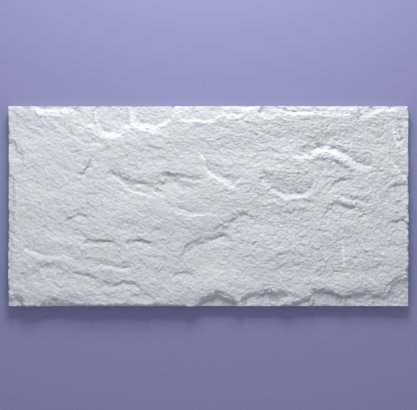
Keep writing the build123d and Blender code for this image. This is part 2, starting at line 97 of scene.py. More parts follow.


# Ledges that face the upper or the right edge, many with a paler line painted along them, partly
# rubbed and partly a painted highlight, and lines of no drop that are painted paler
RISERS = (
    Ledge(Low.UP, 2.0, 12, ((548, 568), (560, 563), (580, 559), (602, 550))),
    Ledge(Low.UP, 2.5, 12, ((912, 592), (935, 578), (955, 585), (978, 600))),
    Ledge(Low.UP_RIGHT, 1.6, 14, ((150, 550), (165, 534), (188, 506))),
    Ledge(Low.UP, 1.6, 14, ((200, 503), (225, 491), (255, 481))),
    Ledge(Low.RIGHT, 2.6, 10, ((566, 462), (580, 456), (588, 440), (592, 415)), 3, -1.6),
    Ledge(Low.UP, 3.4, 18, ((494, 291), (510, 280), (530, 274), (550, 272), (575, 276),
          (594, 271)), 4, -0.6),
    Ledge(Low.UP, 3.0, 14, ((970, 333), (1000, 329), (1010, 320), (1030, 315), (1070, 306)), 4,
          -0.6),
    Ledge(Low.UP, 3.0, 30, ((304, 396), (330, 378), (347, 365), (352, 352), (375, 345), (400, 338),
          (455, 324)), 6, -0.3),
    Ledge(Low.UP, 3.0, 16, ((190, 550), (197, 532), (207, 524), (230, 530), (248, 525), (262, 520),
          (276, 509), (300, 508), (322, 508), (345, 520), (358, 533), (368, 543), (380, 535),
          (400, 529), (420, 527), (440, 519), (455, 521), (470, 530), (506, 542)), 6, -0.5),
    Ledge(Low.UP, 2.2, 12, ((60, 599), (75, 588), (95, 578), (110, 574), (150, 575), (180, 580),
          (200, 593)), 5, -0.4),
    Ledge(Low.UP, 2.6, 12, ((510, 563), (530, 555), (546, 550), (562, 553)), 4, -0.4),
    Ledge(Low.UP, 2.6, 12, ((638, 566), (670, 564), (708, 568)), 4, -0.6),
    Ledge(Low.UP, 2.4, 10, ((680, 599), (700, 591), (746, 594)), 4, -0.4),
    Ledge(Low.UP, 2.6, 10, ((750, 576), (770, 566), (794, 560)), 3, -0.6),
    Ledge(Low.UP, 2.6, 12, ((824, 576), (860, 578), (900, 574), (960, 573), (1000, 571),
          (1016, 576), (1036, 593)), 4, -0.6),
    Ledge(Low.UP, 2.6, 12, ((1043, 567), (1060, 561), (1080, 566), (1100, 576), (1125, 590),
          (1162, 585)), 4, -0.4),
    Ledge(Low.UP_RIGHT, 3.8, 18, ((594, 407), (612, 391), (636, 377), (656, 364), (684, 349)), 6,
          -0.6),
    Ledge(Low.UP_RIGHT, 3.0, 14, ((746, 396), (760, 376), (772, 358), (783, 350)), 4, -0.5),
    Ledge(Low.UP, 3.0, 14, ((780, 351), (800, 341), (820, 331), (840, 321), (862, 328),
          (902, 331)), 4, -0.5),
    Ledge(Low.UP, 1.2, 14, ((250, 437), (290, 424), (335, 408))),
    Ledge(Low.UP, 1.6, 12, ((800, 505), (830, 503), (850, 512), (875, 507))),
    Ledge(Low.UP, 1.6, 10, ((914, 410), (935, 400), (950, 397), (974, 410))),
    Ledge(Low.RIGHT, 2.6, 10, ((1000, 212), (1003, 160), (1012, 108)), 4, -1.8),
    Ledge(Low.UP, 1.5, 10, ((1015, 226), (1030, 214), (1050, 202))),
    Ledge(Low.UP, 1.3, 12, ((796, 237), (820, 240), (864, 227))),
    Ledge(Low.UP, 1.3, 12, ((750, 217), (770, 211), (790, 206))),
    Ledge(Low.UP, 1.5, 12, ((715, 538), (728, 529), (745, 520))),
    Ledge(Low.UP, 2.0, 14, ((772, 411), (800, 402), (830, 395), (860, 394), (888, 397))),
    Ledge(Low.UP, 1.2, 10, ((1146, 224), (1156, 217), (1168, 211))),
    Ledge(Low.RIGHT, 3.0, 14, ((1148, 565), (1152, 535), (1158, 505), (1172, 478)), 6, -1.8),
    Ledge(Low.RIGHT, 0.0, 8, ((1164, 514), (1175, 501), (1186, 486)), 9, -1.0),
    Ledge(Low.RIGHT, 0.0, 8, ((1189, 596), (1188, 520), (1190, 440)), 15, -0.45),
    Ledge(Low.RIGHT, 0.0, 8, ((1191, 372), (1188, 330), (1190, 290)), 15, -0.4),
    Ledge(Low.UP_RIGHT, 3.0, 16, ((1146, 434), (1165, 415), (1182, 393), (1197, 374)), 6, -0.8),
    Ledge(Low.UP, 2.4, 18, ((38, 177), (60, 167), (85, 156), (102, 147), (125, 142), (152, 147)),
          8),
    Ledge(Low.UP, 2.8, 20, ((190, 142), (215, 124), (240, 117), (262, 108), (300, 118),
          (348, 110)), 9),
    Ledge(Low.UP, 1.6, 10, ((1050, 146), (1066, 139), (1088, 136))),
    Ledge(Low.UP, 1.4, 10, ((54, 426), (66, 414), (82, 404))),
    Ledge(Low.UP_RIGHT, 1.3, 8, ((85, 385), (100, 372), (116, 361))),
    Ledge(Low.UP_RIGHT, 1.3, 8, ((150, 380), (160, 368), (173, 351))),
    Ledge(Low.UP, 7.5, 44, ((836, 458), (862, 450), (884, 446), (902, 454), (930, 466), (962, 468),
          (990, 456), (1022, 438), (1045, 422), (1084, 410)), 22, -0.6),
)

# Ledges and cracks that face the lower edge, some with shade painted along them, and lines of no
# drop that paint shade into the chips along the lower edge, and two that are painted paler
UNDERCUTS = (
    Ledge(Low.DOWN_RIGHT, 4.2, 12, ((196, 401), (222, 397), (230, 410), (240, 430), (254, 454)), 4,
          1.3),
    Ledge(Low.DOWN, 2.4, 10, ((150, 89), (170, 105), (190, 108), (209, 93))),
    Ledge(Low.DOWN, 2.0, 8, ((160, 79), (180, 83), (205, 82))),
    Ledge(Low.DOWN, 2.0, 8, ((220, 90), (236, 96), (258, 94))),
    Ledge(Low.DOWN, 1.6, 8, ((246, 97), (270, 106), (302, 112))),
    Ledge(Low.DOWN, 3.6, 12, ((275, 77), (300, 74), (325, 71), (360, 81)), 3, 0.7),
    Ledge(Low.DOWN, 3.4, 10, ((495, 97), (510, 100), (527, 102), (550, 97)), 3, 0.8),
    Ledge(Low.DOWN, 2.6, 10, ((162, 252), (185, 265), (204, 269)), 2, 0.6),
    Ledge(Low.DOWN_RIGHT, 1.2, 8, ((940, 337), (955, 347), (970, 362), (988, 382))),
    Ledge(Low.DOWN, 0.0, 8, ((1014, 306), (1036, 303), (1052, 297), (1064, 284)), 5, -0.6),
    Ledge(Low.DOWN, 0.0, 8, ((948, 284), (956, 296), (968, 307)), 5, -0.6),
    Ledge(Low.DOWN, 2.4, 8, ((964, 133), (978, 140), (996, 142))),
    Ledge(Low.DOWN, 2.2, 8, ((1025, 146), (1036, 148), (1050, 144))),
    Ledge(Low.DOWN, 1.8, 8, ((1088, 118), (1096, 119), (1104, 115))),
    Ledge(Low.DOWN, 2.4, 8, ((395, 35), (412, 38), (430, 34))),
    Ledge(Low.DOWN, 2.4, 8, ((500, 5), (525, 8), (550, 4))),
    Ledge(Low.DOWN, 4.6, 8, ((228, 200), (252, 198), (280, 197), (320, 196)), 4, 1.3),
    Ledge(Low.DOWN, 4.6, 8, ((350, 195), (375, 198), (400, 198), (442, 190)), 4, 1.3),
    Ledge(Low.DOWN, 2.0, 8, ((1066, 44), (1080, 47), (1099, 44))),
    Ledge(Low.DOWN, 2.4, 8, ((1096, 32), (1108, 37), (1124, 36))),
    Ledge(Low.DOWN, 2.0, 7, ((1150, 20), (1164, 25), (1180, 20))),
    Ledge(Low.DOWN, 2.2, 8, ((1000, 14), (1012, 18), (1032, 26))),
    Ledge(Low.DOWN, 2.2, 8, ((1048, 12), (1064, 13), (1076, 17), (1081, 28))),
    Ledge(Low.DOWN, 2.6, 9, ((0, 392), (12, 388), (26, 373)), 2, 1.0),
    Ledge(Low.DOWN, 3.2, 18, ((308, 420), (325, 410), (345, 401), (354, 390), (362, 377),
          (392, 371), (434, 363)), 8, 0.5),
    Ledge(Low.DOWN, 5.0, 34, ((438, 380), (448, 394), (464, 401), (480, 399), (500, 394),
          (522, 394), (548, 386), (590, 388)), 14, 0.6),
    Ledge(Low.DOWN, 3.0, 14, ((436, 366), (452, 372), (472, 368)), 5, 0.6),
    Ledge(Low.DOWN, 2.4, 12, ((530, 366), (556, 362), (588, 370)), 5),
    Ledge(Low.DOWN, 2.0, 9, ((326, 443), (342, 448), (358, 445)), 3),
    Ledge(Low.DOWN_RIGHT, 4.0, 18, ((512, 146), (524, 164), (534, 180), (552, 190), (570, 200),
          (582, 216)), 8, 0.6),
    Ledge(Low.DOWN_RIGHT, 3.4, 14, ((612, 222), (624, 236), (640, 246), (656, 258)), 6, 0.6),
    Ledge(Low.DOWN, 2.4, 9, ((660, 268), (675, 274), (696, 273)), 3),
    Ledge(Low.DOWN, 2.0, 8, ((598, 212), (612, 217), (628, 215)), 2),
    Ledge(Low.DOWN, 2.0, 8, ((684, 214), (692, 226), (702, 236)), 2),
    Ledge(Low.DOWN, 1.8, 7, ((766, 197), (784, 200), (804, 197))),
    Ledge(Low.DOWN, 1.8, 7, ((742, 175), (752, 179), (766, 176))),
    Ledge(Low.DOWN, 2.8, 9, ((704, 145), (716, 152), (730, 152)), 3, 0.6),
    Ledge(Low.DOWN, 1.8, 8, ((658, 153), (672, 157), (686, 154))),
    Ledge(Low.DOWN, 1.8, 8, ((772, 134), (786, 140), (802, 136))),
    Ledge(Low.DOWN, 1.8, 8, ((802, 115), (816, 121), (832, 117))),
    Ledge(Low.DOWN, 1.8, 8, ((742, 90), (754, 94), (768, 91))),
    Ledge(Low.DOWN, 1.8, 8, ((764, 60), (778, 64), (792, 61))),
    Ledge(Low.DOWN, 1.8, 8, ((384, 84), (396, 88), (414, 86))),
    Ledge(Low.DOWN, 1.8, 8, ((412, 62), (424, 68), (442, 66))),
    Ledge(Low.DOWN_RIGHT, 2.0, 10, ((437, 221), (448, 234), (461, 243)), 3),
    Ledge(Low.DOWN, 1.6, 8, ((328, 252), (355, 251), (376, 247), (402, 252))),
    Ledge(Low.DOWN, 1.8, 8, ((156, 550), (172, 555), (190, 553))),
    Ledge(Low.DOWN, 1.6, 8, ((92, 516), (104, 523), (118, 524))),
    Ledge(Low.DOWN, 1.4, 8, ((56, 376), (66, 380), (76, 376))),
    Ledge(Low.DOWN, 1.4, 8, ((68, 338), (80, 342), (94, 339))),
    Ledge(Low.DOWN, 1.6, 8, ((228, 335), (242, 339), (258, 336))),
    Ledge(Low.DOWN, 1.4, 7, ((122, 308), (132, 312), (144, 309))),
    Ledge(Low.DOWN, 1.6, 10, ((1046, 384), (1062, 396), (1088, 400)), 3),
    Ledge(Low.DOWN, 2.0, 10, ((0, 501), (15, 498), (25, 485), (45, 468), (54, 458)), 3, 0.8),
    Ledge(Low.DOWN, 1.6, 8, ((0, 32), (15, 31), (25, 38), (36, 29), (50, 15), (58, 2)), 4, 0.5),
    Ledge(Low.DOWN, 2.0, 8, ((74, 1), (95, 12), (130, 20), (175, 14), (218, 1)), 6, 0.7),
    Ledge(Low.DOWN, 1.4, 12, ((20, 95), (55, 101), (75, 116), (100, 131), (152, 129)), 9, 0.3),
    Ledge(Low.DOWN, 2.4, 10, ((554, 0), (566, 18), (600, 29), (616, 38), (632, 42), (646, 38),
          (662, 32), (692, 16)), 8, 0.6),
    Ledge(Low.DOWN, 2.0, 10, ((728, 41), (770, 47), (800, 49), (820, 45), (836, 32), (855, 27),
          (902, 30)), 5, 0.6),
    Ledge(Low.DOWN, 2.0, 10, ((900, 28), (908, 56), (930, 57), (970, 52), (1000, 41), (1030, 46),
          (1064, 49), (1096, 48), (1120, 37)), 6, 0.3),
    Ledge(Low.DOWN_RIGHT, 2.4, 10, ((1118, 36), (1130, 52), (1140, 66), (1165, 88), (1200, 99)), 6,
          0.6),
    Ledge(Low.DOWN, 0.0, 12, ((568, 4), (600, 14), (640, 22), (690, 6)), 20, 0.55),
    Ledge(Low.DOWN, 0.0, 12, ((740, 22), (790, 26), (830, 16), (884, 12)), 22, 0.5),
    Ledge(Low.DOWN, 0.0, 12, ((902, 34), (960, 32), (1010, 24), (1066, 30), (1116, 18)), 24, 0.6),
    Ledge(Low.DOWN, 0.0, 12, ((1126, 20), (1152, 50), (1199, 70)), 22, 0.4),
)


class Tree:
    """A node tree under construction, with short ways to add and join its nodes."""

    def __init__(self, tree: bpy.types.NodeTree) -> None:
        """Keeps the tree that nodes are added to.

        Args:
            tree: a geometry or shader node tree.
        """
        self.tree = tree

    def add(self, kind: str, inputs: dict | None = None, **settings: object) -> bpy.types.Node:
        """Adds a node.

        Args:
            kind: the node's type name.
            inputs: values or sockets for its inputs, by socket name or index.
            **settings: values for the node's own properties.

        Returns:
            The new node.
        """
        node = self.tree.nodes.new(kind)
        for name, value in settings.items():
            setattr(node, name, value)
        for key, value in (inputs or {}).items():
            self.feed(self.socket(node, key), value)
        return node

    def socket(self, node: bpy.types.Node, key: str | int) -> Socket:
        """Finds an input that the node's settings leave in use.

        Args:
            node: the node.
            key: the input's name, or its index.

        Returns:
            The input socket.
        """
        if isinstance(key, int):
            return node.inputs[key]
        return next(s for s in node.inputs if s.name == key and s.enabled)

    def feed(self, socket: Socket, value: object) -> None:
        """Gives an input a value or joins it to another node's output.

        Args:
            socket: the input.
            value: a number, vector, object or output socket.
        """
        if isinstance(value, Socket):
            self.tree.links.new(value, socket)
        else:
            socket.default_value = value

    def math(self, operation: str, a: object, b: object = 0.0, c: object = 0.0,
             clamp: bool = False) -> Socket:
        """Adds a Math node and returns its result.

        Args:
            operation: the operation's name.
            a: first value or socket.
            b: second value or socket.
            c: third value or socket.
            clamp: whether the result is held between 0 and 1.

        Returns:
            The result socket.
        """
        node = self.add("ShaderNodeMath", {0: a, 1: b, 2: c}, operation=operation,
                        use_clamp=clamp)
        return node.outputs[0]

    def vector(self, operation: str, a: object, b: object = (0.0, 0.0, 0.0),
               scale: object = None) -> Socket:
        """Adds a Vector Math node and returns its result.

        Args:
            operation: the operation's name.
            a: first vector or socket.
            b: second vector or socket.
            scale: the scale, for the operation of that name.

        Returns:
            The result socket, a number for a dot product.
        """
        node = self.add("ShaderNodeVectorMath", {0: a}, operation=operation)
        if scale is None:
            self.feed(node.inputs[1], b)
        else:
            self.feed(node.inputs["Scale"], scale)
        return node.outputs["Value" if operation == "DOT_PRODUCT" else "Vector"]

    def noise(self, place: object, scale: object, detail: float, roughness: float = 0.5,
              distortion: float = 0.0, output: str = "Fac") -> Socket:
        """Adds a noise texture and returns one of its outputs.

        Args:
            place: the coordinates it reads.
            scale: how many features fit in a metre.
            detail: how many finer layers are added.
            roughness: how strong the finer layers are.
            distortion: how far it is bent.
            output: Fac, or Color for three independent values.

        Returns:
            The output socket.
        """
        node = self.add("ShaderNodeTexNoise", {"Vector": place, "Scale": scale,
                                               "Detail": detail, "Roughness": roughness,
                                               "Distortion": distortion})
        return node.outputs[output]

    def remap(self, value: object, low: float, high: float, to_low: float, to_high: float,
              smooth: bool = False) -> Socket:
        """Maps one range of numbers onto another, held to its ends.

        Args:
            value: the number.
            low: start of its range.
            high: end of its range.
            to_low: what the start becomes.
            to_high: what the end becomes.
            smooth: whether the ends are eased.

        Returns:
            The result socket.
        """
        style = "SMOOTHSTEP" if smooth else "LINEAR"
        node = self.add("ShaderNodeMapRange", {0: value, 1: low, 2: high, 3: to_low,
                                               4: to_high}, interpolation_type=style)
        return node.outputs[0]

    def spread(self, noise: object, to_low: float, to_high: float) -> Socket:
        """Stretches a noise over a range of its own, since most of it lies from 0.3 to 0.7.

        Args:
            noise: the noise.
            to_low: what its dark parts become.
            to_high: what its bright parts become.

        Returns:
            The result socket.
        """
        return self.remap(noise, 0.3, 0.7, to_low, to_high)

    def wander(self, place: object, scale: object, detail: float,
               roughness: float = 0.5) -> Socket:
        """Adds a noise of three independent values, each about nought.

        Args:
            place: the coordinates it reads.
            scale: how many features fit in a metre.
            detail: how many finer layers are added.
            roughness: how strong the finer layers are.

        Returns:
            The vector.
        """
        values = self.noise(place, scale, detail, roughness, output="Color")
        return self.vector("SUBTRACT", values, (0.5, 0.5, 0.5))

    def axis(self, vector: object, number: int) -> Socket:
        """Takes one number out of a vector: 0 for along the panel, 1 across it, 2 upwards."""
        return self.add("ShaderNodeSeparateXYZ", {0: vector}).outputs[number]

    def mixed(self, share: object, first: object, second: object) -> Socket:
        """Mixes two colours.

        Args:
            share: how much of the second there is, from 0 to 1.
            first: a colour of four numbers, or a socket.
            second: the same.

        Returns:
            The colour.
        """
        node = self.add("ShaderNodeMix", {"Factor": share, 6: first, 7: second},
                        data_type="RGBA")
        return node.outputs[2]

    def turned(self, place: object, degrees: float) -> Socket:
        """Turns positions about the upright axis."""
        node = self.add("ShaderNodeVectorRotate", {"Vector": place, "Angle": radians(degrees)},
                        rotation_type="Z_AXIS")
        return node.outputs[0]

    def named(self, name: str, kind: str = "FLOAT") -> Socket:
        """Reads what the geometry carries by name: a number, or another kind of value."""
        return self.add("GeometryNodeInputNamedAttribute", {"Name": name},
                        data_type=kind).outputs[0]

    def stored(self, geometry: Socket, name: str, value: object,
               kind: str = "FLOAT", domain: str = "POINT") -> Socket:
        """Stores a value on the geometry by name.

        Args:
            geometry: the geometry.
            name: the value's name.
            value: the value, worked out at each place.
            kind: its data type.
            domain: what carries it, such as each point or each edge.

        Returns:
            The geometry that carries it.
        """
        return self.add("GeometryNodeStoreNamedAttribute", {
            "Geometry": geometry, "Name": name, "Value": value},
            data_type=kind, domain=domain).outputs[0]

    def blurred(self, value: Socket, times: object) -> Socket:
        """Evens a number out over its neighbours, so many times over."""
        return self.add("GeometryNodeBlurAttribute", {"Value": value, "Iterations": times},
                        data_type="FLOAT").outputs[0]


def new_material(name: str) -> tuple:
    """Makes a material with nodes.

    Args:
        name: its name.

    Returns:
        The material, its tree and its shader node.
    """
    made = bpy.data.materials.new(name)
    made.use_nodes = True
    return made, Tree(made.node_tree), made.node_tree.nodes["Principled BSDF"]


def in_scene(name: str, data: bpy.types.ID) -> bpy.types.Object:
    """Puts a mesh, lamp or camera in the scene.

    Args:
        name: its object's name.
        data: the mesh, lamp or camera.

    Returns:
        The object.
    """
    placed = bpy.data.objects.new(name, data)
    bpy.context.scene.collection.objects.link(placed)
    return placed


@dataclass(frozen=True)
class StoneSkin:
    """The matt off-white skin that the mould leaves on the stone face and the sides.

    Features are counted in each metre: broad clouds, patches of a slightly different hue, dust
    specks, the grain of the stone and the grit on it. The grain is bump, a little longer than
    wide, and stronger towards the panel's right end.
    """

    colour: tuple = (0.638, 0.645, 0.657)
    # Painted shade and highlight: the hollow and crest colours darken hollows and pale crests, the
    # undercut colour paints shade along ledges that face the lower edge, and the pale colour
    # paints lines that are partly rubbed and partly a painted highlight
    hollow_shade_colour: tuple = (0.585, 0.572, 0.605)
    crest_highlight_colour: tuple = (0.72, 0.738, 0.742)
    undercut_shade_colour: tuple = (0.42, 0.405, 0.44)
    rubbed_and_highlight_colour: tuple = (0.82, 0.825, 0.835)
    hue_change: tuple = (0.12, 0.05, 0.12)
    roughness: float = 0.78
    shine: float = 0.3
    clouds: float = 9.0
    patches: float = 26.0
    specks: float = 420.0
    grain: float = 130.0
    grain_slant: float = 20.0
    grain_stretch: float = 1.15
    grain_height: float = 2.9 * MM
    grain_left: float = 0.85
    grain_right: float = 1.45
    grit: float = 900.0
    grit_share: float = 0.12

    def material(self) -> bpy.types.Material:
        """Builds the material from object coordinates and the face's own attributes.

        Returns:
            The material.
        """
        made, t, shader = new_material("moulded_stone_skin")
        place = t.add("ShaderNodeTexCoord").outputs["Object"]
        cloud = t.noise(place, self.clouds, 3.0)
        t.feed(shader.inputs["Base Color"], self.tinted(t, place, cloud))
        t.feed(shader.inputs["Roughness"], t.spread(cloud, self.roughness - 0.05,
                                                    self.roughness + 0.06))
        t.feed(shader.inputs["Normal"], self.grained(t, place))
        shader.inputs["Specular IOR Level"].default_value = self.shine
        return made

    def tinted(self, t: Tree, place: Socket, cloud: Socket) -> Socket:
        """Colours the stone, with painted shade in its hollows and along its undercuts, painted
        highlight on its crests, and paler lines, partly rubbed and partly a painted highlight.

        Args:
            t: the material's tree.
            place: object coordinates.
            cloud: the broad clouds.

        Returns:
            The colour.
        """
        hollow = t.add("ShaderNodeAttribute", attribute_name="hollow").outputs["Fac"]
        stain = t.add("ShaderNodeAttribute", attribute_name="stain").outputs["Fac"]
        # Painted shade in hollows and painted highlight on crests, by how far each point lies
        # below or above what is round it
        painted_relief_shading = t.mixed(t.remap(hollow, -0.6, 0.6, 1.0, 0.0), (*self.hollow_shade_colour, 1.0),
                            (*self.crest_highlight_colour, 1.0))
        colour = t.mixed(0.5, (*self.colour, 1.0), painted_relief_shading)
        # Painted shade along the ledges that face the lower edge where the mark is above nought,
        # and a paler line below nought, partly rubbed and partly a painted highlight
        for painted_over, sign in ((self.undercut_shade_colour, 1.0), (self.rubbed_and_highlight_colour, -1.0)):
            share = t.math("MULTIPLY", stain, sign, clamp=True)
            colour = t.mixed(share, colour, (*painted_over, 1.0))
        speck = t.noise(place, self.specks, 2.0, 0.6)
        shade = t.math("ADD", t.spread(cloud, 0.965, 1.03), t.spread(speck, -0.012, 0.012))
        patch = t.vector("MULTIPLY", t.wander(place, self.patches, 2.0), self.hue_change)
        hue = t.vector("ADD", (1.0, 1.0, 1.0), patch)
        return t.vector("SCALE", t.vector("MULTIPLY", colour, hue), scale=shade)

    def grained(self, t: Tree, place: Socket) -> Socket:
        """Bumps the skin with grain that is too fine for the mesh.

        Args:
            t: the material's tree.
            place: object coordinates.

        Returns:
            The bumped normal.
        """
        slanted = t.add("ShaderNodeMapping", {
            "Vector": place, "Rotation": (0, 0, radians(self.grain_slant)),
            "Scale": (1.0, self.grain_stretch, 1.0)}).outputs[0]
        grain = t.noise(slanted, self.grain, 3.0, 0.55, 0.3)
        grit = t.noise(place, self.grit, 2.0, 0.6)
        strength = t.remap(t.axis(place, 0), -0.4, 0.3, self.grain_left, self.grain_right)
        relief = t.math("ADD", t.math("MULTIPLY", grain, strength),
                        t.math("MULTIPLY", grit, self.grit_share))
        return t.add("ShaderNodeBump", {"Strength": 1.0, "Distance": self.grain_height,
                                        "Height": relief}).outputs[0]


@dataclass(frozen=True)
class FoamBack:
    """The flat back: dense foam skinned against the mould's lid, with fine open pores.

    The pores, and the lines in which the foam flowed, are counted in each metre.
    """

    colour: tuple = (0.66, 0.645, 0.60)
    roughness: float = 0.85
    shine: float = 0.25
    pores: float = 260.0
    flow: float = 6.0
    pore_depth: float = 0.4 * MM

    def material(self) -> bpy.types.Material:
        """Builds the material.

        Returns:
            The material.
        """
        made, t, shader = new_material("foam_back_skin")
        place = t.add("ShaderNodeTexCoord").outputs["Object"]
        pores = t.add("ShaderNodeTexVoronoi", {"Vector": place, "Scale": self.pores})
        pit = t.remap(pores.outputs["Distance"], 0.0, 0.34, 0.0, 1.0, True)
        flow = t.noise(place, self.flow, 4.0, 0.55, 1.2)
        # The pores are painted darker inside, as painted shade in their pits; the flow lines vary
        # the foam's own tone
        shade = t.math("MULTIPLY", t.spread(flow, 0.94, 1.04),
                       t.remap(pit, 0.0, 1.0, 0.86, 1.0))
        t.feed(shader.inputs["Base Color"], t.vector("SCALE", self.colour, scale=shade))
        t.feed(shader.inputs["Roughness"], t.spread(flow, self.roughness - 0.08,
                                                    self.roughness + 0.05))
        height = t.math("ADD", pit, t.math("MULTIPLY", flow, 2.0))
        bump = t.add("ShaderNodeBump", {"Strength": 0.6, "Distance": self.pore_depth,
                                        "Height": height})
        t.feed(shader.inputs["Normal"], bump.outputs[0])
        shader.inputs["Specular IOR Level"].default_value = self.shine
        return made


@dataclass(frozen=True)
class Facets:
    """One size of the small tilted facets that split stone breaks into.

    The size is how long a facet is, and the stretch how much longer than wide. The slope is how
    steeply it may tilt, and the step how far it may stand above its neighbours.
    """

    size: float
    stretch: float
    slope: float
    step: float


@dataclass(frozen=True)
class Roughness:
    """One layer of the stone's unevenness.

    The size is how wide its largest bumps are, the stretch how much longer than wide, and the
    slant how many degrees they run below level. The finer layers fade by the share each time.
    """

    size: float
    height: float
    stretch: float
    slant: float
    finer: float
    share: float


@dataclass(frozen=True)
class Drawing:
    """How the drawn ledges are laid on the face.

    They wander off their lines, are sampled at steps along them, and fade towards both ends.
    The ground beyond climbs back at the pace of the climb, over each ledge's reach. The shade or
    paleness painted along a ledge spreads over a share of its width and an edge more. Ledges and
    their painted shade and paleness are patchy along their lines, between two strengths. Turns and
    patches are counted in each metre.
    """

    wander: float = 10 * MM
    turns: float = 75.0
    step: float = 3 * MM
    end_fade: float = 0.6
    climb: float = 1.6
    shade_and_pale_share: float = 0.6
    shade_and_pale_edge: float = 2.4 * MM
    patches: float = 36.0
    patchy: tuple = (0.5, 1.35)


@dataclass
class StonePanel:
    """The panel: its stone face, sides and flat back, as one closed mesh.

    The face is a grid of cells. The warp is how far the solid's outlines are bent, over so many
    bends in each metre. The weathering is how often the solid's corners are evened out. The
    unevenness is stronger on the walls of the ledges, and by two factors at the panel's left
    and right ends. The facets lie at one slant at the left end and at another at the right, in
    degrees below level. Halfway down, the sides wave up and down and are drawn in by a share.
    """

    node: str = "stone_panel"
    piece: str = "split_stone_panel"
    cells: tuple = (432, 216)
    warp: float = 6.0 * MM
    bends: float = 22.0
    drawing: Drawing = field(default_factory=Drawing)
    weathering: int = 1
    facets: tuple = (Facets(34 * MM, 1.25, 0.055, 0.1 * MM),
                     Facets(14 * MM, 1.2, 0.12, 0.1 * MM))
    facet_slants: tuple = (24.0, 6.0)
    rough: tuple = (Roughness(95 * MM, 1.6 * MM, 1.5, 12.0, 1.0, 0.5),
                    Roughness(42 * MM, 3.6 * MM, 1.3, 28.0, 1.0, 0.5),
                    Roughness(22 * MM, 1.9 * MM, 1.3, 32.0, 3.0, 0.58),
                    Roughness(19 * MM, 1.6 * MM, 1.3, -26.0, 3.0, 0.58))
    wall_rough: float = 1.2
    wall_blurs: int = 6
    hollow_blurs: int = 9
    end_rough: tuple = (0.86, 1.1)
    side_wave: float = 4 * MM
    side_draw: float = 0.0006
    skin: StoneSkin = field(default_factory=StoneSkin)
    back: FoamBack = field(default_factory=FoamBack)

    def build(self, cad: bpy.types.Object) -> bpy.types.Object:
        """Makes the finished panel.

        Args:
            cad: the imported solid, whose face is sampled and which stays as it is.

        Returns:
            The panel's object, a plain closed mesh.
        """
        low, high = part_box(self.node)
        lines = self.ledge_lines(high.x - low.x, high.y - low.y)
        holder = in_scene("panel_holder", bpy.data.meshes.new("panel_holder"))
        modifier = holder.modifiers.new("riven", "NODES")
        modifier.node_group = self.tree()
        self.set_inputs(modifier, {
            "Solid": cad, "Ledges": lines, "Length": high.x - low.x,
            "Width": high.y - low.y, "Cells along": self.cells[0],
            "Cells across": self.cells[1], "Warp": self.warp,
            "Weathering": self.weathering, "Roughness": 1.0,
            "Wall roughness": self.wall_rough, "Skin": self.skin.material(),
            "Back": self.back.material()})
        bpy.context.view_layer.update()
        evaluated = holder.evaluated_get(bpy.context.evaluated_depsgraph_get())
        mesh = bpy.data.meshes.new_from_object(evaluated)
        holder.modifiers.remove(modifier)
        bpy.data.objects.remove(holder)
        bpy.data.objects.remove(lines)
        return self.closed(mesh)

    def set_inputs(self, modifier: bpy.types.NodesModifier, values: dict) -> None:
        """Sets a modifier's inputs by their sockets' identifiers.

        Args:
            modifier: the modifier.
            values: the value for each named input.
        """
        for item in modifier.node_group.interface.items_tree:
            if item.item_type == "SOCKET" and item.name in values:
                modifier[item.identifier] = values[item.name]

    def ledge_lines(self, length: float, width: float) -> bpy.types.Object:
        """Lays the listed ledges out as edges at the level of the panel's back.

        Args:
            length: the panel's length.
            width: its width.

        Returns:
            An object of edges that carry each ledge's sizes, the shade or paleness painted along
            it, and its low side.
        """
        points, edges, sides = [], [], []
        numbers = {"drop": [], "reach": [], "width": [], "stain": []}
        for ledge in RISERS + UNDERCUTS:
            first = len(points)
            for x, y in ledge.points:
                points.append((x * MM - length / 2, y * MM - width / 2, 0.0))
                for name in ("drop", "reach", "width"):
                    numbers[name].append(getattr(ledge, name) * MM)
                numbers["stain"].append(ledge.stain)
                sides += [*ledge.low.value, 0.0]
            edges += [(k, k + 1) for k in range(first, len(points) - 1)]
        mesh = bpy.data.meshes.new("ledge_lines")
        mesh.from_pydata(points, edges, [])
        for name, values in numbers.items():
            mesh.attributes.new(name, "FLOAT", "POINT").data.foreach_set("value", values)
        mesh.attributes.new("side", "FLOAT_VECTOR", "POINT").data.foreach_set("vector", sides)
        return in_scene("ledge_lines", mesh)

    def tree(self) -> bpy.types.GeometryNodeTree:
        """Builds the node tree that turns the solid's face into split stone.

        Returns:
            The tree, with a named input for each size.
        """
        group = bpy.data.node_groups.new("riven_face", "GeometryNodeTree")
        for name, kind in (("Solid", "Object"), ("Ledges", "Object"), ("Length", "Float"),
                           ("Width", "Float"), ("Cells along", "Int"), ("Cells across", "Int"),
                           ("Warp", "Float"), ("Weathering", "Int"), ("Roughness", "Float"),
                           ("Wall roughness", "Float"), ("Skin", "Material"),
                           ("Back", "Material")):
            group.interface.new_socket(name, in_out="INPUT", socket_type=f"NodeSocket{kind}")
        group.interface.new_socket("Geometry", in_out="OUTPUT",
                                   socket_type="NodeSocketGeometry")
        t = Tree(group)
        given = t.add("NodeGroupInput").outputs
        grid = t.add("GeometryNodeMeshGrid", {
            "Size X": given["Length"], "Size Y": given["Width"],
            "Vertices X": t.math("ADD", given["Cells along"], 1.0),
            "Vertices Y": t.math("ADD", given["Cells across"], 1.0)}).outputs["Mesh"]
        shell = self.walls(t, self.raised(t, grid, given))
        t.add("NodeGroupOutput", {"Geometry": self.finished(t, shell, given)})
        return group

